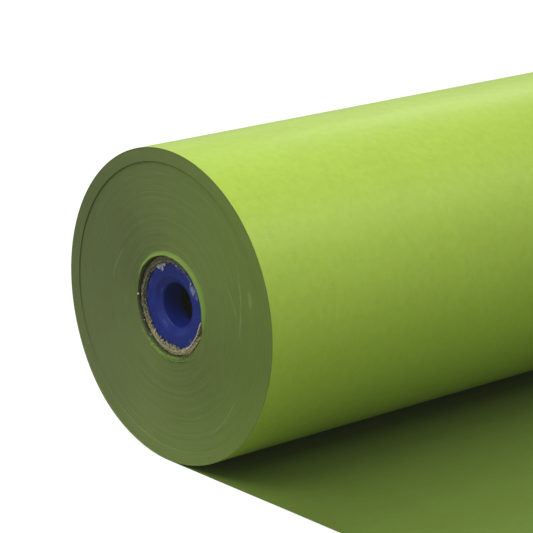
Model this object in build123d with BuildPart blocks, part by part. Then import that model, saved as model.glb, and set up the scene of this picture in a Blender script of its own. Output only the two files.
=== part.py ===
"""Roll of background paper on a plugged cardboard core, with its free end pulled out flat.

Millimetres. The roll's axis is X, the pulled-out sheet runs toward -Y and +Z is up.
The origin is on the roll's axis, half way along it. The roll and the sheet rest on Z = -roll_radius.
"""

import math
import os

from build123d import *

os.makedirs("parts", exist_ok=True)

# Driving dimensions: the paper
roll_radius = 92.0
roll_length = 1350.0
paper_thickness = 0.25
pulled_length = 420.0

# The end faces: the outer band of turns stands a little proud of the rest
outer_band_width = 7.5
outer_band_proud = 0.75

# The first turns: tight on the core inside, spread away from it and flared out at both ends
first_turns_width = 3.0
first_turns_proud = 1.2
end_gap = 1.6
end_gap_depth = 8.0

# The cardboard core, and the strips of tape that hold the first turn to it
core_inner_radius = 25.4
core_wall = 2.8
core_recess = 2.8
core_edge_round = 0.6
tape_thickness = 0.1
tape_width = 48.0
tape_angle = 70.0
tape_spacing = 420.0
tape_count = 3

# The moulded core plugs
plug_recess = 4.6
plug_length = 16.0
plug_bore_radius = 13.0
plug_wall = 2.4
plug_web = 4.5
plug_mouth_width = 4.6
plug_mouth_depth = 2.8
plug_mouth_round = 1.2
plug_rim_round = 0.6
plug_lead_in = 1.0
rib_count = 6
rib_thickness = 2.2

# Clearances
turn_slack = 0.3
plug_clearance = 0.05

# Radii and lengths that follow
outer_turn_inner_radius = roll_radius - paper_thickness
wound_radius = outer_turn_inner_radius - turn_slack
band_inner_radius = wound_radius - outer_band_width
core_outer_radius = core_inner_radius + core_wall
tight_radius = core_outer_radius + tape_thickness
paper_hole_radius = tight_radius + end_gap
first_turns_outer_radius = paper_hole_radius + first_turns_width
core_length = roll_length - 2 * core_recess
winding_length = roll_length - 2 * outer_band_proud
collar_length = winding_length + 2 * first_turns_proud
plug_radius = core_inner_radius - plug_clearance
plug_face = roll_length / 2 - plug_recess
plug_hub_radius = plug_bore_radius + plug_wall
plug_skirt_inner_radius = plug_radius - plug_wall

# The flat sheet starts where the curved underside of the roll has risen clear of it
sheet_start = math.sqrt(2 * roll_radius * (paper_thickness + turn_slack))


# The outermost turn, from which the sheet is drawn
with BuildPart() as outer_turn:
    with BuildSketch(Plane.YZ.offset(-roll_length / 2)):
        Circle(roll_radius)
        Circle(outer_turn_inner_radius, mode=Mode.SUBTRACT)
    extrude(amount=roll_length)
outer_turn.part.label = "outer_turn"
export_step(outer_turn.part, "parts/outer_turn.step")


# The sheet pulled out from under the roll, flat on the surface that the roll lies on
with BuildPart() as pulled_sheet:
    with BuildSketch(Plane.XY.offset(-roll_radius)):
        with Locations((0, -sheet_start)):
            Rectangle(roll_length, pulled_length - sheet_start, align=(Align.CENTER, Align.MAX))
    extrude(amount=paper_thickness)
pulled_sheet.part.label = "pulled_sheet"
export_step(pulled_sheet.part, "parts/pulled_sheet.step")


# The outer band of turns, proud of the winding inside it at both ends
with BuildPart() as outer_winding:
    with BuildSketch(Plane.YZ.offset(-roll_length / 2)):
        Circle(wound_radius)
        Circle(band_inner_radius, mode=Mode.SUBTRACT)
    extrude(amount=roll_length)
outer_winding.part.label = "outer_winding"
export_step(outer_winding.part, "parts/outer_winding.step")


# The main winding
with BuildPart() as main_winding:
    with BuildSketch(Plane.YZ.offset(-winding_length / 2)):
        Circle(band_inner_radius)
        Circle(first_turns_outer_radius, mode=Mode.SUBTRACT)
    extrude(amount=winding_length)
main_winding.part.label = "main_winding"
export_step(main_winding.part, "parts/main_winding.step")


# The first turns: half of their section, mirrored end for end and revolved
with BuildPart() as first_turns:
    with BuildSketch(Plane.XY):
        with BuildLine():
            Polyline(
                (0, tight_radius),
                (collar_length / 2 - end_gap_depth, tight_radius),
                (collar_length / 2 - end_gap_depth / 2, paper_hole_radius),
                (collar_length / 2, paper_hole_radius),
                (collar_length / 2 - first_turns_proud, first_turns_outer_radius),
                (0, first_turns_outer_radius),
                close=True,
            )
        make_face()
        mirror(about=Plane.YZ)
    revolve(axis=Axis.X)
first_turns.part.label = "first_turns"
export_step(first_turns.part, "parts/first_turns.step")


# The cardboard core
with BuildPart() as core_tube:
    with BuildSketch(Plane.YZ.offset(-core_length / 2)):
        Circle(core_outer_radius)
        Circle(core_inner_radius, mode=Mode.SUBTRACT)
    extrude(amount=core_length)
    core_rims = core_tube.edges().filter_by(GeomType.CIRCLE).filter_by(
        lambda rim: abs(rim.radius - core_outer_radius) < core_wall / 2
    )
    fillet(core_rims, radius=core_edge_round)
core_tube.part.label = "core_tube"
export_step(core_tube.part, "parts/core_tube.step")


# The tape strips between the core and the first turn, all over the start of the paper
with BuildPart() as start_tape:
    for place in range(tape_count):
        strip_centre = (place - (tape_count - 1) / 2) * tape_spacing
        with BuildSketch(Plane.XZ):
            with Locations((strip_centre, core_outer_radius)):
                Rectangle(tape_width, tape_thickness, align=(Align.CENTER, Align.MIN))
        revolve(axis=Axis.X, revolution_arc=tape_angle)
start_tape.part.label = "start_tape"
export_step(start_tape.part, "parts/start_tape.step")


def core_plug(outward):
    """One moulded plug: a dished web with a hub and a skirt behind it, joined by ribs. outward is -1 or 1."""
    with BuildPart() as plug:
        with BuildSketch(Plane.XY):
            with BuildLine():
                Polyline(
                    (plug_face - plug_mouth_depth, plug_bore_radius),
                    (plug_face, plug_bore_radius + plug_mouth_width),
                    (plug_face, plug_radius),
                    (plug_face - plug_length + plug_lead_in, plug_radius),
                    (plug_face - plug_length, plug_radius - plug_lead_in),
                    (plug_face - plug_length, plug_skirt_inner_radius),
                    (plug_face - plug_web, plug_skirt_inner_radius),
                    (plug_face - plug_web, plug_hub_radius),
                    (plug_face - plug_length, plug_hub_radius),
                    (plug_face - plug_length, plug_bore_radius),
                    close=True,
                )
            make_face()
        revolve(axis=Axis.X)
        with BuildSketch(Plane.YZ.offset(plug_face - plug_web)):
            with PolarLocations(0, rib_count):
                with Locations((plug_hub_radius - plug_wall / 2, 0)):
                    Rectangle(
                        plug_skirt_inner_radius - plug_hub_radius + plug_wall,
                        rib_thickness,
                        align=(Align.MIN, Align.CENTER),
                    )
        extrude(amount=plug_web - plug_length)
        face_rims = plug.faces().sort_by(Axis.X)[-1].edges().sort_by(SortBy.LENGTH)
        throat = plug_face - plug_mouth_depth
        throat_rims = plug.edges().filter_by_position(Axis.X, throat - 0.01, throat + 0.01)
        fillet([face_rims[0], *throat_rims], radius=plug_mouth_round)
        face_rims = plug.faces().sort_by(Axis.X)[-1].edges().sort_by(SortBy.LENGTH)
        fillet(face_rims[-1], radius=plug_rim_round)
    return plug.part if outward > 0 else mirror(plug.part, about=Plane.YZ)


for side, outward in (("left", -1), ("right", 1)):
    core_plug_solid = core_plug(outward)
    core_plug_solid.label = f"{side}_core_plug"
    export_step(core_plug_solid, f"parts/{side}_core_plug.step")
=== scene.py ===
"""The looks of the background paper roll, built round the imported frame. Metres; X is the roll's axis."""

import math
import random

import bmesh
import bpy
import numpy as np
from mathutils import Matrix, Vector, noise


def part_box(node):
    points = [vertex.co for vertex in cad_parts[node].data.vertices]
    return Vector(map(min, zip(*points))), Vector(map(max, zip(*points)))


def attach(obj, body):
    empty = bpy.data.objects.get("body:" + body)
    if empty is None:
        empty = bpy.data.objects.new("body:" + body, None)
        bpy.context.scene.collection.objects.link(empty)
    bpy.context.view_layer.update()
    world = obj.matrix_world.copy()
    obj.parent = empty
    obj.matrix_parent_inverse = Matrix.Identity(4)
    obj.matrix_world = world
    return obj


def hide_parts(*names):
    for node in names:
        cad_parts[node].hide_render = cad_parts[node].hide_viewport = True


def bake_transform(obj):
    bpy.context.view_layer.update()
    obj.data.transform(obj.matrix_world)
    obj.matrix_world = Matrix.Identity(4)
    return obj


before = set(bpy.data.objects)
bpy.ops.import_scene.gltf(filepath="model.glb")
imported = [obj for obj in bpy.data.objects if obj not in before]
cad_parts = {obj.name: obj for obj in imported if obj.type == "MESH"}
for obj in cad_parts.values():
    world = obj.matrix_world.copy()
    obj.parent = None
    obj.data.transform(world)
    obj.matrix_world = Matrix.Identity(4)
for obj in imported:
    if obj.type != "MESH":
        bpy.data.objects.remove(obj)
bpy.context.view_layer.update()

MM = 0.001
SHARP_ANGLE = math.radians(40)

# Places and sizes read from the frame
_, roll_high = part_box("outer_turn")
sheet_low, sheet_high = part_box("pulled_sheet")
_, band_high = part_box("outer_winding")
_, main_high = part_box("main_winding")
_, collar_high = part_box("first_turns")
_, core_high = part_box("core_tube")
plug_low, plug_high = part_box("left_core_plug")

half_length = roll_high.x
roll_radius = roll_high.y
table_level = sheet_low.z
paper_thickness = sheet_high.z - sheet_low.z
band_radius = band_high.y
main_radius = main_high.y
collar_radius = collar_high.y
core_radius = core_high.y
plug_radius = plug_high.y
plug_face = -plug_low.x

# Sizes of the looks
PAPER_HOLE_RADIUS = 29.95 * MM
PLUG_CLEARANCE = 0.05 * MM
core_bore_radius = plug_radius + PLUG_CLEARANCE


# ---------------------------------------------------------------- mesh helpers


def new_piece(name, points, faces, material, smooth=True):
    """A mesh object from a list of points and faces."""
    mesh = bpy.data.meshes.new(name)
    mesh.from_pydata([tuple(p) for p in points], [], faces)
    mesh.validate()
    shell = bmesh.new()
    shell.from_mesh(mesh)
    bmesh.ops.recalc_face_normals(shell, faces=shell.faces)
    shell.to_mesh(mesh)
    shell.free()
    mesh.polygons.foreach_set("use_smooth", [smooth] * len(mesh.polygons))
    if smooth:
        mesh.set_sharp_from_angle(angle=SHARP_ANGLE)
    piece = bpy.data.objects.new(name, mesh)
    bpy.context.scene.collection.objects.link(piece)
    mesh.materials.append(material)
    return piece


def give_faces(piece, material, first, last):
    """Puts a second material on the faces numbered first to last - 1."""
    piece.data.materials.append(material)
    slot = len(piece.data.materials) - 1
    for index in range(first, last):
        piece.data.polygons[index].material_index = slot


def grid_faces(rows, columns, close_rows=False, close_columns=False, flip=False, first=0):
    """Quads over a rows x columns grid of points numbered row by row from first."""
    faces = []
    for i in range(rows if close_rows else rows - 1):
        for j in range(columns if close_columns else columns - 1):
            i2, j2 = (i + 1) % rows, (j + 1) % columns
            quad = (
                first + i * columns + j,
                first + i2 * columns + j,
                first + i2 * columns + j2,
                first + i * columns + j2,
            )
            faces.append(quad[::-1] if flip else quad)
    return faces


def revolved(profile, segments, shifted_x):
    """Points and faces of a closed profile of (x, radius) pairs turned round the X axis.

    shifted_x(x, radius, angle) gives each point's own x.
    """
    points = []
    for x, radius in profile:
        for k in range(segments):
            angle = 2 * math.pi * k / segments
            points.append((shifted_x(x, radius, angle), -radius * math.cos(angle), radius * math.sin(angle)))
    return points, grid_faces(len(profile), segments, close_rows=True, close_columns=True)


def leaf(grid, thickness):
    """Points and faces of a thin closed slab along a grid of points, a list of rows of vectors."""
    rows, columns = len(grid), len(grid[0])
    upper, lower = [], []
    for i in range(rows):
        for j in range(columns):
            down = grid[min(i + 1, rows - 1)][j] - grid[max(i - 1, 0)][j]
            across = grid[i][min(j + 1, columns - 1)] - grid[i][max(j - 1, 0)]
            normal = down.cross(across).normalized() * thickness / 2
            upper.append(grid[i][j] + normal)
            lower.append(grid[i][j] - normal)
    size = rows * columns
    faces = grid_faces(rows, columns)
    faces += grid_faces(rows, columns, flip=True, first=size)
    faces += [(a, b, b + size, a + size) for a, b in border(rows, columns)]
    return upper + lower, faces


def border(rows, columns):
    """The directed border edges of a grid, as pairs of point numbers, against the grid's winding."""
    ring = [(i, 0) for i in range(rows)]
    ring += [(rows - 1, j) for j in range(1, columns)]
    ring += [(i, columns - 1) for i in range(rows - 2, -1, -1)]
    ring += [(0, j) for j in range(columns - 2, 0, -1)]
    numbers = [i * columns + j for i, j in ring]
    return [(numbers[k + 1 - len(numbers)], numbers[k]) for k in range(len(numbers))]


def joined(name, slabs, material):
    """One piece made of several (points, faces) meshes."""
    points, faces = [], []
    for slab_points, slab_faces in slabs:
        start = len(points)
        points += slab_points
        faces += [tuple(start + n for n in face) for face in slab_faces]
    return new_piece(name, points, faces, material)


def wave(value, *terms):
    """A sum of sines: terms are (size, turns per unit, phase)."""
    return sum(size * math.sin(2 * math.pi * turns * value + phase) for size, turns, phase in terms)


def taper(share, power):
    """0 at both ends of 0..1 and 1 in the middle, flatter for a smaller power."""
    return max(0.0, math.sin(math.pi * share)) ** power


def hump(value, centre, width):
    """A bell of height 1 round centre, for angles in degrees."""
    apart = (value - centre + 180) % 360 - 180
    return math.exp(-((apart / width) ** 2))


def plateau(value, centre, reach, fade):
    """1 round centre, eased to 0 over the last fade degrees before reach degrees from it."""
    apart = abs((value - centre + 180) % 360 - 180)
    share = min(1.0, max(0.0, (reach - apart) / fade))
    return share * share * (3 - 2 * share)


def turn_point(x, radius, degrees):
    """A point on the roll's end: 0 degrees is toward the front, 90 is up."""
    angle = math.radians(degrees)
    return Vector((x, -radius * math.cos(angle), radius * math.sin(angle)))


RIGHT_END_TURN = 215


def end_angle(degrees, side):
    """The wear angle at an angle round one end, or back: the right end's wear is mirrored and turned."""
    return degrees if side < 0 else RIGHT_END_TURN - degrees


def rough_noise(degrees, radius, scale, seed, depth=4):
    """Fractal noise round a ring, about -1 to 1, the same at 0 and 360 degrees."""
    place = turn_point(seed * 0.37, radius / MM, degrees) * scale
    return noise.fractal(place, 0.9, 2.1, depth)


# ---------------------------------------------------------------- materials


class Nodes:
    """A short way to write a material's node tree."""

    def __init__(self, name, rough=0.5):
        self.material = bpy.data.materials.new(name)
        self.material.use_nodes = True
        self.tree = self.material.node_tree
        self.shader = self.tree.nodes["Principled BSDF"]
        self.shader.inputs["Roughness"].default_value = rough

    def add(self, kind, inputs=None, **settings):
        node = self.tree.nodes.new(kind)
        for key, value in settings.items():
            setattr(node, key, value)
        for key, value in (inputs or {}).items():
            if isinstance(value, bpy.types.NodeSocket):
                self.tree.links.new(value, node.inputs[key])
            else:
                node.inputs[key].default_value = value
        return node

    def math(self, operation, a, b=0.0, clamp=False):
        return self.add("ShaderNodeMath", {0: a, 1: b}, operation=operation, use_clamp=clamp).outputs[0]

    def vector(self, x, y, z):
        return self.add("ShaderNodeCombineXYZ", {0: x, 1: y, 2: z}).outputs[0]

    def product(self, first, *others):
        for other in others:
            first = self.math("MULTIPLY", first, other)
        return first

    def total(self, first, *others):
        for other in others:
            first = self.math("ADD", first, other)
        return first

    def place(self):
        """Where a point is on its piece."""
        return self.add("ShaderNodeTexCoord").outputs["Object"]

    def axes(self, where):
        """X, Y and Z of a place."""
        split = self.add("ShaderNodeSeparateXYZ", {0: where})
        return split.outputs[0], split.outputs[1], split.outputs[2]

    def length(self, a, b):
        return self.math("SQRT", self.total(self.product(a, a), self.product(b, b)))

    def noise(self, where, scale, detail=3.0, rough=0.55):
        node = self.add(
            "ShaderNodeTexNoise",
            {"Vector": where, "Scale": scale, "Detail": detail, "Roughness": rough},
        )
        return node.outputs["Fac"]

    def ramp(self, value, low, high, out_low=0.0, out_high=1.0):
        """Maps low..high to out_low..out_high, clamped."""
        return self.add(
            "ShaderNodeMapRange",
            {"Value": value, "From Min": low, "From Max": high, "To Min": out_low, "To Max": out_high},
        ).outputs["Result"]

    def mix(self, share, a, b, blend="MIX"):
        node = self.add("ShaderNodeMix", {"Factor": share}, data_type="RGBA", blend_type=blend)
        for key, value in (("A_Color", a), ("B_Color", b)):
            socket = next(s for s in node.inputs if s.identifier == key)
            if isinstance(value, bpy.types.NodeSocket):
                self.tree.links.new(value, socket)
            else:
                socket.default_value = (*value, 1.0)
        return next(s for s in node.outputs if s.identifier == "Result_Color")

    def scaled(self, colour, factor):
        """A colour times a brightness."""
        grey = self.add("ShaderNodeCombineColor", {0: factor, 1: factor, 2: factor}).outputs[0]
        return self.mix(1.0, colour, grey, "MULTIPLY")

    def bump(self, height, distance, strength=1.0, under=None):
        inputs = {"Height": height, "Distance": distance, "Strength": strength}
        if under is not None:
            inputs["Normal"] = under
        return self.add("ShaderNodeBump", inputs).outputs[0]

    def finish(self, colour=None, roughness=None, normal=None):
        for key, value in (("Base Color", colour), ("Roughness", roughness), ("Normal", normal)):
            if value is not None:
                self.tree.links.new(value, self.shader.inputs[key])
        return self.material


def paper_material(name, base, specular, rough, painted_light_end=0.0):
    """Dyed kraft paper: even colour, fine mottling with a few darker spots, fibres, a faint second gloss, and
    for the sheet, painted light that pales it toward its free end.
    """
    n = Nodes(name)
    n.shader.inputs["Specular IOR Level"].default_value = specular
    n.shader.inputs["Coat Weight"].default_value = 0.07
    n.shader.inputs["Coat Roughness"].default_value = 0.2
    where = n.place()
    clouds = n.noise(where, 210.0, 2.0, 0.5)
    spots = n.noise(where, 130.0, 3.0, 0.6)
    patches = n.noise(where, 22.0, 2.0, 0.5)
    fibres = n.noise(where, 1300.0, 3.0, 0.65)
    tone = n.total(
        n.ramp(clouds, 0.3, 0.7, -0.036, 0.036),
        n.ramp(patches, 0.35, 0.65, -0.015, 0.015),
        n.ramp(fibres, 0.3, 0.7, -0.03, 0.03),
        n.ramp(spots, 0.6, 0.78, 0.0, -0.10),
    )
    # painted light: paler toward the sheet's free end, standing for the roll's shade thinning out away from
    # the roll
    if painted_light_end:
        _, y, _ = n.axes(where)
        tone = n.total(tone, n.ramp(y, -1.45 * roll_radius, -2.25 * roll_radius, 0.0, painted_light_end))
    colour = n.scaled(base, n.total(tone, 1.0))
    roughness = n.ramp(patches, 0.3, 0.7, rough - 0.02, rough + 0.02)
    height = n.total(n.product(clouds, 0.5), n.product(fibres, 0.5))
    return n.finish(colour, roughness, n.bump(height, 0.03 * MM, 0.3))


paper = paper_material("green_paper", (0.394, 0.576, 0.056), specular=0.5, rough=0.42)
# painted shade: the sheet on the table is the roll's own green paper, given a much darker base colour to
# stand for the shade it lies in
shaded_sheet_paper = paper_material(
    "green_paper_shaded_sheet",
    (0.093, 0.147, 0.0215),
    specular=0.4,
    rough=0.45,
    painted_light_end=0.34,
)


def gap_paper_material(name, reach, deep_shade_colour, edge):
    """First turns that face the gap round the core: lighter along the cut edge, with painted shade darkening
    them down in the gap.
    """
    n = Nodes(name, 0.7)
    n.shader.inputs["Specular IOR Level"].default_value = 0.2
    where = n.place()
    x, _, _ = n.axes(where)
    fibres = n.noise(where, 900.0, 3.0, 0.7)
    stands_out = n.math("SUBTRACT", n.math("ABSOLUTE", x), main_high.x)
    # painted shade: the paper turns darker the deeper it lies in the gap
    colour = n.mix(n.ramp(stands_out, -reach, 0.1 * MM), deep_shade_colour, edge)
    colour = n.scaled(colour, n.ramp(fibres, 0.32, 0.68, 0.55, 1.35))
    return n.finish(colour, None, n.bump(fibres, 0.1 * MM, 0.5))


# painted shade: the first colour of each is the paper darkened deep in the gap round the core, the second the
# lighter colour at the cut edge
loose_paper = gap_paper_material("loose_turn_paper", 1.1 * MM, (0.068, 0.100, 0.026), (0.205, 0.300, 0.060))
gap_wall = gap_paper_material("inside_of_first_turn", 2.0 * MM, (0.050, 0.052, 0.030), (0.130, 0.170, 0.058))


def arc_scuff(n, y, z, centre, radius, width, low, high):
    """A thin mark along part of a circle on an end face, from low to high in z.

    All sizes but the width are in roll radii.
    """
    dy = n.math("SUBTRACT", y, centre[0] * roll_radius)
    dz = n.math("SUBTRACT", z, centre[1] * roll_radius)
    apart = n.math("ABSOLUTE", n.math("SUBTRACT", n.length(dy, dz), radius * roll_radius))
    line = n.ramp(apart, width * 0.3, width, 1.0, 0.0)
    middle, reach = (low + high) / 2 * roll_radius, (high - low) / 2 * roll_radius
    along = n.math("ABSOLUTE", n.math("SUBTRACT", z, middle))
    return n.product(line, n.ramp(along, reach * 0.55, reach, 1.0, 0.0))


# strength, centre (y, z), radius, line width in mm, lowest and highest z; roll radii but for the width
FACE_SCUFFS = (
    (0.30, (0.35, 0.14), 1.045, 0.9, -0.06, 0.42),
    (0.24, (-0.05, -0.12), 0.640, 0.8, 0.06, 0.30),
    (0.30, (0.60, 0.10), 1.385, 2.2, 0.16, 0.30),
    (0.20, (0.10, -0.05), 0.840, 0.8, -0.74, -0.40),
)


def wound_edge_material(name, front, back, scuffed=False, flared=False):
    """The cut edges of the wound turns: fine rings of slightly different tone, grainy and rough, with broad
    painted light and shade.
    """
    n = Nodes(name, 0.8)
    n.shader.inputs["Specular IOR Level"].default_value = 0.2
    where = n.place()
    x, y, z = n.axes(where)
    radius = n.length(y, z)
    side_y = n.math("DIVIDE", y, radius)
    side_z = n.math("DIVIDE", z, radius)

    def rings(per_metre, round_share):
        across = n.product(radius, per_metre)
        where_on_ring = n.vector(across, n.product(side_y, round_share), n.product(side_z, round_share))
        return n.noise(where_on_ring, 1.0, 2.0)

    fine = rings(1500.0, 6.0)
    middle = rings(600.0, 1.6)
    speckle = n.noise(where, 900.0, 3.0, 0.75)
    blotches = n.noise(where, 60.0, 2.0, 0.5)
    near_core = n.ramp(radius, 0.36 * roll_radius, 0.62 * roll_radius, 1.5, 0.6)
    rim_share = n.ramp(radius, 0.5 * roll_radius, 0.95 * roll_radius)
    lower_front = n.total(n.product(side_y, -0.34), n.product(side_z, -0.94))
    tone = n.total(
        n.product(n.ramp(middle, 0.3, 0.7, -0.022, 0.022), near_core),
        n.ramp(fine, 0.3, 0.7, -0.055, 0.055),
        n.ramp(speckle, 0.3, 0.7, -0.09, 0.09),
        n.ramp(speckle, 0.45, 0.75, 0.0, -0.12),
        n.ramp(blotches, 0.35, 0.65, -0.015, 0.015),
        # painted light: lighter in two broad fans, at the upper front and the lower back, a painted sheen on
        # the cut edges
        n.product(side_y, side_z, -0.2),
        # painted light and shade: paler toward the rim at the lower front, painted light thrown up from the
        # table, and darker at the back, painted shade
        n.product(rim_share, n.ramp(lower_front, 0.5, 1.0, 0.0, 0.34)),
        n.ramp(side_y, 0.3, 1.0, 0.0, -0.14),
    )
    colour = n.mix(n.ramp(y, -0.8 * roll_radius, 0.8 * roll_radius), front, back)
    colour = n.scaled(colour, n.total(tone, 1.0))
    if scuffed:
        on_left = n.ramp(x, -0.1, 0.1, 1.0, 0.0)
        broken = n.ramp(n.noise(where, 260.0, 3.0, 0.7), 0.35, 0.6, 0.25, 1.0)
        for strength, centre, arc_radius, width, low, high in FACE_SCUFFS:
            mark = arc_scuff(n, y, z, centre, arc_radius, width * MM, low, high)
            colour = n.mix(n.product(mark, broken, on_left, strength), colour, (0.29, 0.34, 0.19))
    if flared:
        stands_out = n.math("SUBTRACT", n.math("ABSOLUTE", x), main_high.x)
        colour = n.mix(n.ramp(stands_out, 0.06 * MM, 0.60 * MM, 0.0, 0.85), colour, (0.175, 0.285, 0.045))
    height = n.total(n.product(fine, 0.4), n.product(speckle, 0.6))
    return n.finish(colour, None, n.bump(height, 0.12 * MM, 0.5))


EDGE_FRONT, EDGE_BACK = (0.119, 0.176, 0.033), (0.134, 0.176, 0.060)
wound_edges = wound_edge_material("wound_paper_edges", EDGE_FRONT, EDGE_BACK, scuffed=True)
band_edges = wound_edge_material("outer_band_edges", EDGE_FRONT, EDGE_BACK)
collar_edges = wound_edge_material("first_turn_edges", EDGE_FRONT, EDGE_BACK, flared=True)


def board_material(name, dark, pale, grey, grey_share):
    """Grey-brown core board: plies, fibres and patches of grey among paler board, with painted light making
    it paler underneath.
    """
    n = Nodes(name, 0.9)
    n.shader.inputs["Specular IOR Level"].default_value = 0.15
    where = n.place()
    _, y, z = n.axes(where)
    across = n.product(n.length(y, z), 1300.0)
    plies = n.noise(n.vector(across, n.product(y, 60.0), n.product(z, 60.0)), 1.0, 2.0)
    fibres = n.noise(where, 1300.0, 3.0, 0.75)
    patches = n.noise(where, 210.0, 3.0, 0.6)
    colour = n.mix(n.ramp(plies, 0.35, 0.65), dark, pale)
    colour = n.mix(n.ramp(patches, grey_share, grey_share + 0.14), grey, colour)
    # painted light: the board is mixed toward a pale tan underneath, where light falls on the bottom of the
    # recess
    painted_light_underside = n.ramp(z, -6 * MM, -16 * MM)
    colour = n.mix(n.product(painted_light_underside, 0.35), colour, (0.46, 0.40, 0.22))
    colour = n.scaled(colour, n.ramp(fibres, 0.32, 0.68, 0.42, 1.55))
    height = n.total(n.product(plies, 0.4), n.product(fibres, 0.6))
    return n.finish(colour, None, n.bump(height, 0.4 * MM, 0.9))


core_board = board_material(
    "core_board",
    dark=(0.080, 0.070, 0.030),
    pale=(0.235, 0.215, 0.110),
    grey=(0.105, 0.118, 0.082),
    grey_share=0.42,
)
torn_board = board_material(
    "torn_board",
    dark=(0.155, 0.145, 0.075),
    pale=(0.40, 0.375, 0.215),
    grey=(0.185, 0.205, 0.155),
    grey_share=0.44,
)
cream_board = board_material(
    "inner_ply",
    dark=(0.40, 0.36, 0.22),
    pale=(0.62, 0.57, 0.40),
    grey=(0.42, 0.40, 0.30),
    grey_share=0.40,
)


def fuzz_material(name, thin, thick):
    """Dried glue and paper fuzz: whitish, duller where it is thin."""
    n = Nodes(name, 0.7)
    n.shader.inputs["Subsurface Weight"].default_value = 0.2
    n.shader.inputs["Subsurface Scale"].default_value = 0.5 * MM
    where = n.place()
    patches = n.noise(where, 500.0, 3.0, 0.7)
    fibres = n.noise(where, 1800.0, 2.0, 0.6)
    colour = n.mix(n.ramp(patches, 0.36, 0.62), thin, thick)
    return n.finish(colour, None, n.bump(fibres, 0.3 * MM, 0.8))


pale_fuzz = fuzz_material("pale_fuzz", (0.16, 0.18, 0.30), (0.47, 0.50, 0.52))
paper_crumb = fuzz_material("paper_crumb", (0.42, 0.44, 0.38), (0.74, 0.76, 0.70))


# strength, angle, radius, half length round the rim, half width; degrees and millimetres. Glue smears, but
# for the last two rows, which are a painted glint and a painted highlight on the bore's lip
SMEARS_AND_GLINTS = (
    (0.95, 36, 21.9, 5.4, 2.9),
    (0.60, 27, 22.8, 3.4, 1.2),
    (0.45, 55, 23.4, 4.0, 0.8),
    (0.35, 76, 23.6, 4.5, 1.1),
    (0.55, 311, 23.0, 1.6, 1.4),
    (0.30, 325, 24.2, 2.6, 0.8),
    (0.35, 118, 22.2, 3.0, 1.6),
    # painted highlights: a glint on the edge of the bore's lip at the upper back, and a highlight arc on the
    # lip at the lower back
    (0.30, 156, 14.6, 2.6, 0.35),
    (0.22, 232, 15.6, 3.4, 0.5),
)


def smear_and_glint_shape(n, y, z, end, degrees, out, half_round, half_across):
    """A soft oval on one plug's face, 1 in the middle: a glue smear, or in two rows a painted highlight, as
    the table of smears and painted glints describes it.
    """
    centre = turn_point(0, out * MM, end_angle(degrees, end))
    away = centre.normalized()
    dy = n.math("SUBTRACT", y, centre.y)
    dz = n.math("SUBTRACT", z, centre.z)
    across = n.total(n.product(dy, away.y), n.product(dz, away.z))
    round_it = n.math("SUBTRACT", n.product(dy, away.z), n.product(dz, away.y))
    across = n.math("DIVIDE", across, half_across * MM)
    round_it = n.math("DIVIDE", round_it, half_round * MM)
    oval = n.total(n.product(across, across), n.product(round_it, round_it))
    return n.ramp(oval, 0.2, 1.0, 1.0, 0.0)


def plug_material():
    """Blue moulded plastic: low gloss, faint flow marks, scuffed rim, glue smears, and a painted glint and a
    painted highlight on the bore's lip.
    """
    n = Nodes("blue_plug_plastic", 0.42)
    n.shader.inputs["Specular IOR Level"].default_value = 0.2
    where = n.place()
    x, y, z = n.axes(where)
    grain = n.noise(where, 1600.0, 2.0, 0.6)
    clouds = n.noise(where, 160.0, 3.0, 0.55)
    colour = n.mix(n.ramp(clouds, 0.35, 0.7), (0.0045, 0.0150, 0.150), (0.0070, 0.0210, 0.192))
    stretched = n.vector(n.product(x, 900.0), n.product(y, 420.0), n.product(z, 260.0))
    scuffs = n.noise(stretched, 1.0, 4.0, 0.65)
    near_rim = n.ramp(n.length(y, z), plug_radius - 4.5 * MM, plug_radius - 0.5 * MM)
    hairlines = n.product(n.ramp(scuffs, 0.62, 0.70), 0.35)
    worn = n.math("MAXIMUM", n.product(near_rim, n.ramp(scuffs, 0.52, 0.66)), hairlines)
    colour = n.mix(n.product(worn, 0.5), colour, (0.10, 0.13, 0.30))
    broken = n.ramp(n.noise(where, 420.0, 4.0, 0.7), 0.38, 0.6)
    for end in (-1, 1):
        this_end = n.ramp(n.product(x, end), 0.0, 0.1)
        # glue smears and painted highlights, mixed in as a pale blue-white
        for strength, *smear_and_glint_spec in SMEARS_AND_GLINTS:
            near = n.product(smear_and_glint_shape(n, y, z, end, *smear_and_glint_spec), broken, this_end, strength)
            colour = n.mix(near, colour, (0.22, 0.26, 0.38))
            worn = n.math("MAXIMUM", worn, near)
    roughness = n.total(n.ramp(clouds, 0.3, 0.7, 0.36, 0.48), n.product(worn, 0.25))
    return n.finish(colour, roughness, n.bump(n.total(grain, clouds), 0.08 * MM, 0.5))


plug_plastic = plug_material()


def tape_material():
    """Brown paper tape that holds the first turn to the core."""
    n = Nodes("start_tape", 0.5)
    fibres = n.noise(n.place(), 700.0, 3.0, 0.7)
    colour = n.mix(fibres, (0.36, 0.24, 0.12), (0.50, 0.36, 0.20))
    return n.finish(colour, None, n.bump(fibres, 0.1 * MM, 0.6))


start_tape = tape_material()


# ---------------------------------------------------------------- the paper web

TURN_SEGMENTS = 288
LENGTH_SEGMENTS = 108
SLACK = 1.15 * MM
RIPPLE = 0.02 * MM


def web_slack(angle, x):
    """How far the slack outermost turn stands off the roll; angle runs from the bottom up the back."""
    centre, width = math.radians(42), math.radians(20)
    share = math.exp(-(((angle - centre) / width) ** 2))
    along = 0.85 + wave(x, (0.15, 0.9, 0.4), (0.06, 2.3, 1.7))
    return SLACK * share * along


def web_ripple(angle, x):
    """Long shallow ripples of the outer turn."""
    return RIPPLE * wave(x, (1.0, 1.7, 0.3), (0.7, 3.9, 2.0)) * math.sin(2 * angle + 3 * x)


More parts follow.
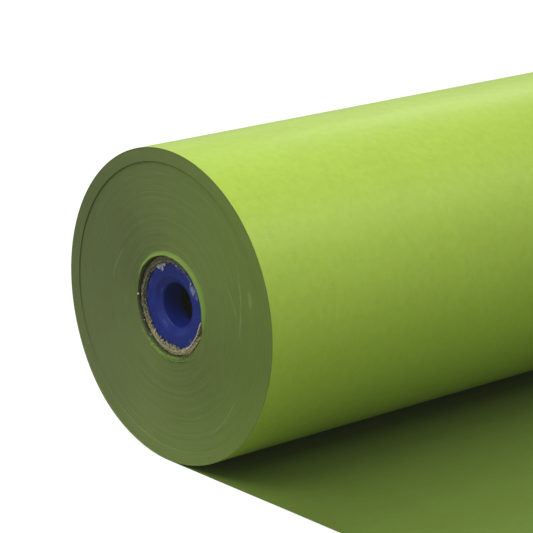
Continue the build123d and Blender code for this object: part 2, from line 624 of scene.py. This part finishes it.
def outer_turn():
    """The outermost turn: a spiral that leaves the sheet at the bottom and goes up the back to the front.

    Where it stands off at the lower back, slack turns fill the space under it, so only its outer side bulges.
    """
    points = []
    for layer in (0, 1):
        for i in range(TURN_SEGMENTS + 1):
            angle = 2 * math.pi * i / TURN_SEGMENTS
            for j in range(LENGTH_SEGMENTS + 1):
                x = half_length * (2 * j / LENGTH_SEGMENTS - 1)
                radius = roll_radius - paper_thickness * (i / TURN_SEGMENTS + layer)
                if layer == 0:
                    radius += web_slack(angle, x) + web_ripple(angle, x) * math.sin(angle / 2)
                points.append((x, radius * math.sin(angle), -radius * math.cos(angle)))
    rows, columns = TURN_SEGMENTS + 1, LENGTH_SEGMENTS + 1
    layer_size = rows * columns
    faces = grid_faces(rows, columns)
    faces += grid_faces(rows, columns, flip=True, first=layer_size)
    cut_edges = [(a, b, b + layer_size, a + layer_size) for a, b in border(rows, columns)]
    piece = new_piece("outer_paper_turn", points, faces + cut_edges, paper)
    give_faces(piece, band_edges, len(faces), len(faces) + len(cut_edges))
    return piece


CURL, CURL_START = 6.0 * MM, 0.78
LIFT = 0.35 * MM
EDGE_LIFT, EDGE_START = 0.15 * MM, 0.985


def sheet_height(x, y):
    """How far the sheet is off the table: a slight wave past the roll, with its free end curled."""
    out = y / sheet_low.y
    curl = CURL * max(0.0, (out - CURL_START) / (1 - CURL_START)) ** 2
    lift = LIFT * min(1.0, out * 4) * (1 + math.sin(5.1 * x + 9 * y) * math.cos(7.3 * x * y + 2.0 * x))
    at_edge = max(0.0, (abs(x) / half_length - EDGE_START) / (1 - EDGE_START))
    return curl + lift + EDGE_LIFT * at_edge**2 * min(1.0, out * 3)


def pulled_sheet():
    """The sheet on the table, which keeps a little of the roll's curl."""
    rows, columns = 141, 136
    points = []
    for layer in (1, 0):
        for i in range(rows):
            y = sheet_low.y * i / (rows - 1)
            for j in range(columns):
                x = half_length * (2 * j / (columns - 1) - 1)
                points.append((x, y, table_level + paper_thickness * layer + sheet_height(x, y)))
    size = rows * columns
    faces = grid_faces(rows, columns)
    faces += grid_faces(rows, columns, flip=True, first=size)
    faces += [(a, b, b + size, a + size) for a, b in border(rows, columns)]
    return new_piece("pulled_paper_sheet", points, faces, shaded_sheet_paper)


web_turn = outer_turn()
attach(web_turn, "outer_turn")
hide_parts("outer_turn")

web_sheet = pulled_sheet()
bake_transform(web_sheet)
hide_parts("pulled_sheet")


# ---------------------------------------------------------------- the wound turns

RING_STEP = 0.45 * MM
RING_SEGMENTS = 240
OFFSETS = 400
rng = random.Random(4)
turn_offsets = [rng.gauss(0, 1) for _ in range(OFFSETS)]
drift = [0.0]
for _ in range(OFFSETS):
    drift.append(drift[-1] * 0.9 + rng.gauss(0, 1) * 0.45)


def edge_offset(radius, angle, side):
    """How far one turn's cut edge stands out from the face, for the winding's slightly uneven edges."""
    turn = radius / RING_STEP - side * angle / (2 * math.pi)
    index = int(turn)
    share = turn - index
    this, following = index % OFFSETS, (index + 1) % OFFSETS
    local = turn_offsets[this] * (1 - share) + turn_offsets[following] * share
    slow = drift[this] * (1 - share) + drift[following] * share
    return (0.020 * local + 0.030 * slow) * MM


def wound_rings(name, inner, outer, half, material):
    """A winding as one closed ring whose two end faces follow the turns' edges."""
    steps = max(2, round((outer - inner) / RING_STEP))
    radii = [inner + (outer - inner) * k / steps for k in range(steps + 1)]
    profile = [(-half, r) for r in radii] + [(half, r) for r in reversed(radii)]

    def shifted_x(x, radius, angle):
        side = 1 if x > 0 else -1
        return x + side * edge_offset(radius, angle, side)

    points, faces = revolved(profile, RING_SEGMENTS, shifted_x)
    return new_piece(name, points, faces, material)


HOLE_RING = 30 * MM
HOLE_OFF_CENTRE, HOLE_SAG = 1.35, 1.1


def hole_radius(degrees):
    """The paper's hole: a little off centre, and opened underneath where the first turns hang loose."""
    off_centre = HOLE_OFF_CENTRE * math.cos(math.radians(degrees - 20))
    return PAPER_HOLE_RADIUS + (off_centre + HOLE_SAG * hump(degrees, 262, 44)) * MM


def flare_share(degrees):
    """1 where the first turns flare out of the face, from the front over the top, and 0 elsewhere."""
    return plateau(degrees, 72, 92, 24)


def flare_width(degrees):
    """How far out from the hole the flare reaches: widest at the front."""
    return (2.4 + 1.3 * hump(degrees, 28, 30)) * MM


FLARE_MARGIN = 5.4 * MM
flare_limit = collar_radius + FLARE_MARGIN
FLARE_ROWS = 26
GAP_DEPTHS = (0.5, 1.5, 3.5, 6.0, 9.0)


def flared_turns():
    """The first turns round the core: flared out of the face at the front and top, tucked in at the back."""
    rows = []
    for side in (-1, 1):
        face_rows = [("face", side, k / FLARE_ROWS) for k in range(FLARE_ROWS + 1)]
        wall_rows = [("wall", side, depth * MM) for depth in GAP_DEPTHS]
        rows += face_rows[::-1] + wall_rows if side < 0 else wall_rows[::-1] + face_rows
    flare_height = collar_high.x - main_high.x
    points = []
    for kind, side, value in rows:
        for k in range(RING_SEGMENTS):
            degrees = 360 * k / RING_SEGMENTS
            worn = end_angle(degrees, side)
            hole = hole_radius(worn) + 0.25 * MM * rough_noise(worn, HOLE_RING, 0.12, side)
            ragged = 1 + 0.12 * rough_noise(worn, HOLE_RING, 0.2, 5 + side)
            height = flare_height * flare_share(worn) * ragged
            if kind == "face":
                radius = hole + (flare_limit - hole) * value
                fall = max(0.0, 1 - (radius - hole) / flare_width(worn)) ** 0.8
                x = main_high.x + height * fall * 0.95 + edge_offset(radius, math.radians(degrees), side)
            else:
                share = value / (GAP_DEPTHS[-1] * MM)
                radius = hole + (core_radius + 0.12 * MM - hole) * share**2
                x = main_high.x + height * 0.95 - value
            points.append(turn_point(side * x, radius, degrees))
    faces = grid_faces(len(rows), RING_SEGMENTS, close_rows=True, close_columns=True)
    piece = new_piece("flared_first_turns", points, faces, collar_edges)
    give_faces(piece, gap_wall, FLARE_ROWS * RING_SEGMENTS, (len(rows) - 1 - FLARE_ROWS) * RING_SEGMENTS)
    return piece


TIGHTEST_LINE = 28.5


def loosest_line(degrees):
    """The radius in millimetres of the first turn that hangs loosest."""
    return 30.4 + 0.9 * hump(degrees, 226, 14) + 2.8 * hump(degrees, 318, 26)


# share of the way from the core to the loosest line, first and last angle, wobble, how far it stands out
LOOSE_TURNS = (
    (1.00, 198, 350, 0.22, 0.45),
    (0.72, 178, 345, 0.32, 0.30),
    (0.48, 188, 340, 0.35, 0.42),
    (0.28, 184, 352, 0.30, 0.10),
    (0.14, 200, 346, 0.22, -0.50),
    (0.03, 206, 344, 0.12, -1.20),
)
TURN_DEPTHS = (0.0, 0.8, 2.2, 5.0)


def loose_turn(side, index):
    """One of the first turns that has come away from the rest and hangs wavy in the hole."""
    share, first, last, wobble, stand = LOOSE_TURNS[index]
    steps = int((last - first) / 1.1)
    grid = []
    for i in range(steps + 1):
        worn = first + (last - first) * i / steps
        free = taper(i / steps, 0.5)
        radius = TIGHTEST_LINE + (loosest_line(worn) - TIGHTEST_LINE) * share
        wall = hole_radius(worn) / MM + 0.4
        wander = wobble * free * rough_noise(worn, HOLE_RING, 0.16, 11 + 3 * index + side)
        wander += (wall - radius) * (1 - free)
        edge = stand - 2.2 * (1 - free) + 0.25 * rough_noise(worn, HOLE_RING, 0.22, 31 + index)
        row = []
        for depth in TURN_DEPTHS:
            lean = 0.3 * free * (1 - depth / TURN_DEPTHS[-1])
            x = main_high.x + (edge - depth) * MM
            row.append(turn_point(side * x, (radius + wander + lean) * MM, end_angle(worn, side)))
        grid.append(row)
    return leaf(grid, paper_thickness)


wound_band = wound_rings("outer_band_of_turns", main_radius, band_radius, band_high.x, band_edges)
wound_main = wound_rings("main_body_of_turns", flare_limit, main_radius, main_high.x, wound_edges)
first_turns = flared_turns()
loose_turns = joined(
    "loose_first_turns",
    [loose_turn(side, index) for side in (-1, 1) for index in range(len(LOOSE_TURNS))],
    loose_paper,
)

for piece, node in (
    (wound_band, "outer_winding"),
    (wound_main, "main_winding"),
    (first_turns, "first_turns"),
    (loose_turns, "first_turns"),
):
    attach(piece, "wound_roll")
    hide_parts(node)


# ---------------------------------------------------------------- the core board

CORE_SEGMENTS = 540
PLY_ROWS = 10
BORE_ROWS = (0.3, 0.8, 1.6, 3.0, 5.0, 8.0, 12.0)
TORN_ZONE = 12.0
BOARD_TORN = 4.4
BOARD_RING = 27 * MM


def board_loss(degrees):
    """How far the board's end is torn back, in millimetres: most at the front."""
    return BOARD_TORN * plateau(degrees, 17, 50, 16) + 0.7 * hump(degrees, 82, 14)


def board_outer(degrees):
    """The board's outer radius in millimetres: torn thin at the lower back, splayed below and above."""
    splayed = 0.7 * hump(degrees, 302, 18) + 1.0 * hump(degrees, 106, 32)
    return core_radius / MM - 1.3 * hump(degrees, 228, 48) + splayed


def torn_depth(worn, side, share):
    """How far the board is torn back, in millimetres, at an angle and a share of the way through its wall."""
    torn = board_loss(worn)
    torn += 0.45 * rough_noise(worn, BOARD_RING, 0.55, 40 + side + 3 * share)
    torn += 0.5 * max(0.0, rough_noise(worn, BOARD_RING, 1.7, 50 + 2 * share, 3))
    return torn - 0.45 * (1 - abs(2 * share - 1)) * hump(worn, 250, 60)


def torn_radius(worn, share, fading):
    """The radius in millimetres at a share of the way in from the board's outside, rougher toward its end."""
    outer = core_radius / MM + (board_outer(worn) - core_radius / MM) * fading
    inner = core_bore_radius / MM + 0.25 * fading * (1 + rough_noise(worn, 25 * MM, 0.8, 60)) * share
    fray = 0.16 * rough_noise(worn, BOARD_RING, 1.4, 70 + 9 * share, 3) * fading * math.sin(math.pi * share)
    return outer + (inner - outer) * share + fray


def frayed_core():
    """The core tube, with both ends torn into uneven plies."""
    rows = []
    for side in (-1, 1):
        outside = [(depth, 0.0) for depth in reversed(BORE_ROWS)]
        across = [(0.0, k / PLY_ROWS) for k in range(PLY_ROWS + 1)]
        inside = [(depth, 1.0) for depth in BORE_ROWS]
        end = [(side, depth, share) for depth, share in outside + across + inside]
        rows += end if side < 0 else end[::-1]
    points = []
    for side, depth, share in rows:
        fading = 1 - depth / TORN_ZONE
        for k in range(CORE_SEGMENTS):
            degrees = 360 * k / CORE_SEGMENTS
            worn = end_angle(degrees, side)
            x = core_high.x / MM - depth - torn_depth(worn, side, share) * fading
            radius = torn_radius(worn, share, fading)
            points.append(turn_point(side * x * MM, radius * MM, degrees))
    faces = grid_faces(len(rows), CORE_SEGMENTS, close_rows=True, close_columns=True)
    return new_piece("frayed_core_tube", points, faces, core_board)


def torn_ply(side, radius, first, last, inset, height, seed, thickness=0.22 * MM):
    """A standing strip of one ply at the board's torn end."""
    steps = int((last - first) / 0.8)
    grid = []
    for i in range(steps + 1):
        worn = first + (last - first) * i / steps
        free = taper(i / steps, 0.35)
        edge = free * height * (1 + 0.35 * rough_noise(worn, radius * MM, 1.1, seed))
        row = []
        for share in (0.0, 0.35, 0.7, 1.0):
            out = 0.22 * rough_noise(worn, radius * MM, 0.5, seed + 2) * (1 - share)
            x = core_high.x / MM - inset + edge * (1 - share) - 1.5 * share
            row.append(turn_point(side * x * MM, (radius + out) * MM, end_angle(worn, side)))
        grid.append(row)
    return leaf(grid, thickness)


# radius, first and last angle, inset of its root, height; millimetres and degrees
TORN_PLIES = (
    (26.3, 205, 300, 0.5, 0.9),
    (27.2, 228, 318, 0.6, 1.0),
    (26.6, 96, 150, 0.7, 0.9),
    (27.8, 262, 300, 0.5, 0.9),
    (25.8, 150, 215, 0.9, 0.8),
)
INNER_PLY = (25.85, 288, 352, 0.9, 1.5)


def lump(centre, size, seed, flat=0.6):
    """A small crumpled crumb: a displaced sphere, flattened along the roll."""
    ball = bmesh.new()
    bmesh.ops.create_icosphere(ball, subdivisions=2, radius=1.0)
    points = []
    for vertex in ball.verts:
        bulge = 1 + 0.45 * noise.noise(vertex.co * 1.6 + Vector((seed * 1.7, 0.3, 0.9)))
        points.append(centre + Vector((vertex.co.x * flat, vertex.co.y, vertex.co.z)) * size * bulge)
    faces = [tuple(vertex.index for vertex in face.verts) for face in ball.faces]
    ball.free()
    return points, faces


FLAKE_ROWS, FLAKE_COLUMNS = 6, 5
FLAKE_THICKNESS = 0.13 * MM


def flake(side, worn, radius, length, width, stand, rise, seed, skew=0.0):
    """A torn scrap over the plug's rim, from radius inward. Millimetres and degrees."""
    chance = random.Random(seed)
    ragged = [chance.uniform(0.7, 1.25) for _ in range(FLAKE_ROWS)]
    grid = []
    for i in range(FLAKE_ROWS):
        along = i / (FLAKE_ROWS - 1)
        half = width / 2 * ragged[i] * (1 - 0.8 * along**1.6)
        row = []
        for j in range(FLAKE_COLUMNS):
            across = 2 * j / (FLAKE_COLUMNS - 1) - 1
            place = Vector((along * 1.9, across * 1.3, seed * 0.61))
            r = radius - length * along * (1 + 0.12 * ragged[(i + j) % FLAKE_ROWS] * abs(across))
            turn = worn + math.degrees((across * half + skew * along * length) / radius)
            out = stand + rise * along + 0.28 * noise.noise(place * 2.3) * min(1.0, length)
            row.append(turn_point(side * (plug_face / MM + out) * MM, r * MM, end_angle(turn, side)))
        grid.append(row)
    return leaf(grid, FLAKE_THICKNESS)


# first and last angle, number, shortest, longest; millimetres and degrees
SCRAP_ZONES = (
    (196, 246, 44, 0.6, 1.7),
    (240, 284, 40, 1.0, 2.5),
    (284, 304, 10, 0.3, 0.9),
    (150, 196, 22, 0.3, 0.8),
    (96, 150, 20, 0.4, 1.0),
    (62, 96, 6, 0.3, 0.8),
)


def board_scraps(side):
    """Scraps of the torn board caught on the plug's rim, most of them at the lower back."""
    chance = random.Random(70 + side)
    root = (plug_radius - PLUG_CLEARANCE) / MM
    scraps = []
    for first, last, count, shortest, longest in SCRAP_ZONES:
        for _ in range(count):
            worn = chance.uniform(first, last)
            length = chance.uniform(shortest, longest)
            width = chance.uniform(0.5, 2.6)
            stand = chance.uniform(0.3, 1.5)
            rise = chance.uniform(-0.3, 0.3)
            seed = chance.randrange(1000)
            skew = chance.uniform(-0.6, 0.6)
            scraps.append(flake(side, worn, root, length, width, stand, rise, seed, skew))
    return scraps


# angle, radius, length, width, stand, rise, skew; millimetres and degrees
GLUE_FLECKS = (
    (115, 25.3, 4.0, 5.4, 0.7, -0.3, 0.1),
    (122, 25.3, 2.4, 3.6, 1.1, -0.2, -0.3),
    (107, 25.2, 2.0, 2.4, 0.9, -0.2, 0.2),
    (47, 23.6, 1.3, 1.1, 0.3, -0.1, -0.5),
    (66, 25.1, 0.9, 2.0, 0.3, -0.1, -0.5),
    (83, 25.1, 0.9, 2.4, 0.4, -0.1, 0.4),
    (326, 25.2, 0.8, 1.6, 0.4, -0.1, -0.3),
)


def glue_flecks(side):
    """Flakes of dried glue on the plug's face."""
    return [
        flake(side, worn, radius, length, width, stand, rise, 300 + k, skew)
        for k, (worn, radius, length, width, stand, rise, skew) in enumerate(GLUE_FLECKS)
    ]


def crumbs(side):
    """White specks of paper in the gap round the core and on the core's wall behind the plug."""
    chance = random.Random(90 + side)
    large = turn_point(side * (main_high.x - 0.3 * MM), 28.45 * MM, end_angle(177, side))
    found = [lump(large, 0.62 * MM, 1)]
    for k in range(4):
        worn = chance.uniform(186, 236)
        x = core_high.x - chance.uniform(-0.6, 0.8) * MM
        place = turn_point(side * x, chance.uniform(27.6, 28.4) * MM, end_angle(worn, side))
        found.append(lump(place, chance.uniform(0.18, 0.36) * MM, k + 5))
    for k in range(12):
        worn = chance.uniform(200, 216)
        x = main_high.x - chance.uniform(29, 38) * MM
        place = turn_point(side * x, core_bore_radius - 0.2 * MM, end_angle(worn, side))
        found.append(lump(place, chance.uniform(0.2, 0.4) * MM, k + 30, flat=1.3))
    return found


core_tube = frayed_core()
core_plies = joined(
    "torn_core_plies",
    [torn_ply(side, *spec, 80 + k) for side in (-1, 1) for k, spec in enumerate(TORN_PLIES)],
    torn_board,
)
inner_ply = joined(
    "inner_ply",
    [torn_ply(side, *INNER_PLY, 95, thickness=0.6 * MM) for side in (-1, 1)],
    cream_board,
)
core_crumbs = joined("paper_crumbs", crumbs(-1) + crumbs(1), paper_crumb)
for piece in (core_tube, core_plies, inner_ply, core_crumbs):
    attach(piece, "wound_roll")
    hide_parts("core_tube")

for side, body in ((-1, "left_plug"), (1, "right_plug")):
    caught = joined(body + "_board_scraps", board_scraps(side), torn_board)
    flecks = joined(body + "_glue_flecks", glue_flecks(side), pale_fuzz)
    for piece in (caught, flecks):
        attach(piece, body)


# ---------------------------------------------------------------- plugs and tape

for node in ("left_core_plug", "right_core_plug"):
    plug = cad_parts[node]
    plug.data.materials.clear()
    plug.data.materials.append(plug_plastic)
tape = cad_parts["start_tape"]
tape.data.materials.clear()
tape.data.materials.append(start_tape)


# ---------------------------------------------------------------- stage, light and camera


def floor_material():
    """Near-white floor: mostly even white to the camera, and dimmer and matt to the light it throws back."""
    n = Nodes("pale_floor", 0.9)
    matt = n.add("ShaderNodeBsdfDiffuse", {"Color": (0.30, 0.30, 0.30, 1)})
    shaded = n.add("ShaderNodeBsdfDiffuse", {"Color": (0.16, 0.16, 0.16, 1)})
    glow = n.add("ShaderNodeEmission", {"Color": (1, 1, 1, 1), "Strength": 0.92})
    seen = n.add("ShaderNodeAddShader", {0: shaded.outputs[0], 1: glow.outputs[0]})
    to_camera = n.add("ShaderNodeLightPath").outputs["Is Camera Ray"]
    both = n.add("ShaderNodeMixShader", {0: to_camera, 1: matt.outputs[0], 2: seen.outputs[0]})
    n.tree.nodes.remove(n.shader)
    output = next(node for node in n.tree.nodes if node.type == "OUTPUT_MATERIAL")
    n.tree.links.new(both.outputs[0], output.inputs["Surface"])
    return n.material


FLOOR_HALF = 12.0
FLOOR_CORNERS = ((-1, -1), (1, -1), (1, 1), (-1, 1))
floor_level = table_level - 0.2 * MM
floor = new_piece(
    "floor",
    [(sx * FLOOR_HALF, sy * FLOOR_HALF, floor_level) for sx, sy in FLOOR_CORNERS],
    [(0, 1, 2, 3)],
    floor_material(),
    smooth=False,
)

WORLD_STRENGTH = 0.35
world = bpy.data.worlds.new("white_studio")
bpy.context.scene.world = world
world.use_nodes = True
world.node_tree.nodes["Background"].inputs["Color"].default_value = (1, 1, 1, 1)
world.node_tree.nodes["Background"].inputs["Strength"].default_value = WORLD_STRENGTH


def soft_box(name, azimuth, elevation, distance, width, height, power):
    """An area light aimed at the middle of the roll. Azimuth 0 is toward -Y and 90 toward +X."""
    a, e = math.radians(azimuth), math.radians(elevation)
    toward = Vector((math.sin(a) * math.cos(e), -math.cos(a) * math.cos(e), math.sin(e)))
    data = bpy.data.lights.new(name, "AREA")
    data.shape = "RECTANGLE"
    data.size, data.size_y = width, height
    data.energy = power
    light = bpy.data.objects.new(name, data)
    light.location = toward * distance
    light.rotation_euler = toward.to_track_quat("Z", "Y").to_euler()
    bpy.context.scene.collection.objects.link(light)


# name, azimuth, elevation, distance, width, height, power; degrees, metres and watts
SOFT_BOXES = (
    ("back_low", 180, 16, 2.4, 3.6, 0.8, 4.1),
    ("front_high", 0, 55, 2.4, 3.6, 1.0, 16.2),
    ("left", -90, 15, 2.4, 1.5, 1.5, 6.3),
    ("left_high", -90, 55, 2.4, 1.5, 1.5, 35.0),
    ("right_back", 135, 32, 2.6, 0.8, 0.35, 3.4),
)
for name, *setting in SOFT_BOXES:
    soft_box(name + "_soft_box", *setting)

# The camera, placed from the centre of the left end face in units of the roll's radius
CAMERA_FROM_FACE = Vector((-9.629, -12.2705, 4.8068))
CAMERA_AZIMUTH, CAMERA_ELEVATION, CAMERA_ROLL = -40.361, 16.248, 0.108
CAMERA_LENS = 178.97


def aimed_camera():
    """The camera that sees the left end close up, with the roll running off to the right."""
    a, e, roll = (math.radians(v) for v in (CAMERA_AZIMUTH, CAMERA_ELEVATION, CAMERA_ROLL))
    back = Vector((math.sin(a) * math.cos(e), -math.cos(a) * math.cos(e), math.sin(e)))
    right = Vector((math.cos(a), math.sin(a), 0))
    up = back.cross(right)
    tilted_right = right * math.cos(roll) + up * math.sin(roll)
    tilted_up = up * math.cos(roll) - right * math.sin(roll)
    data = bpy.data.cameras.new("camera")
    data.lens = CAMERA_LENS
    data.clip_start, data.clip_end = 0.05, 60
    camera = bpy.data.objects.new("camera", data)
    turn = Matrix((tilted_right, tilted_up, back)).transposed().to_4x4()
    place = Vector((-half_length, 0, 0)) + CAMERA_FROM_FACE * roll_radius
    camera.matrix_world = Matrix.Translation(place) @ turn
    bpy.context.scene.collection.objects.link(camera)
    return camera


bpy.context.scene.camera = aimed_camera()
view = bpy.context.scene.view_settings
view.view_transform = "Standard"
# A faint even haze, as a lens gives in front of a bright background
HAZE = (0.007, 0.007, 0.005)
view.use_curve_mapping = True
view.curve_mapping.black_level = [-part for part in HAZE]
view.curve_mapping.update()
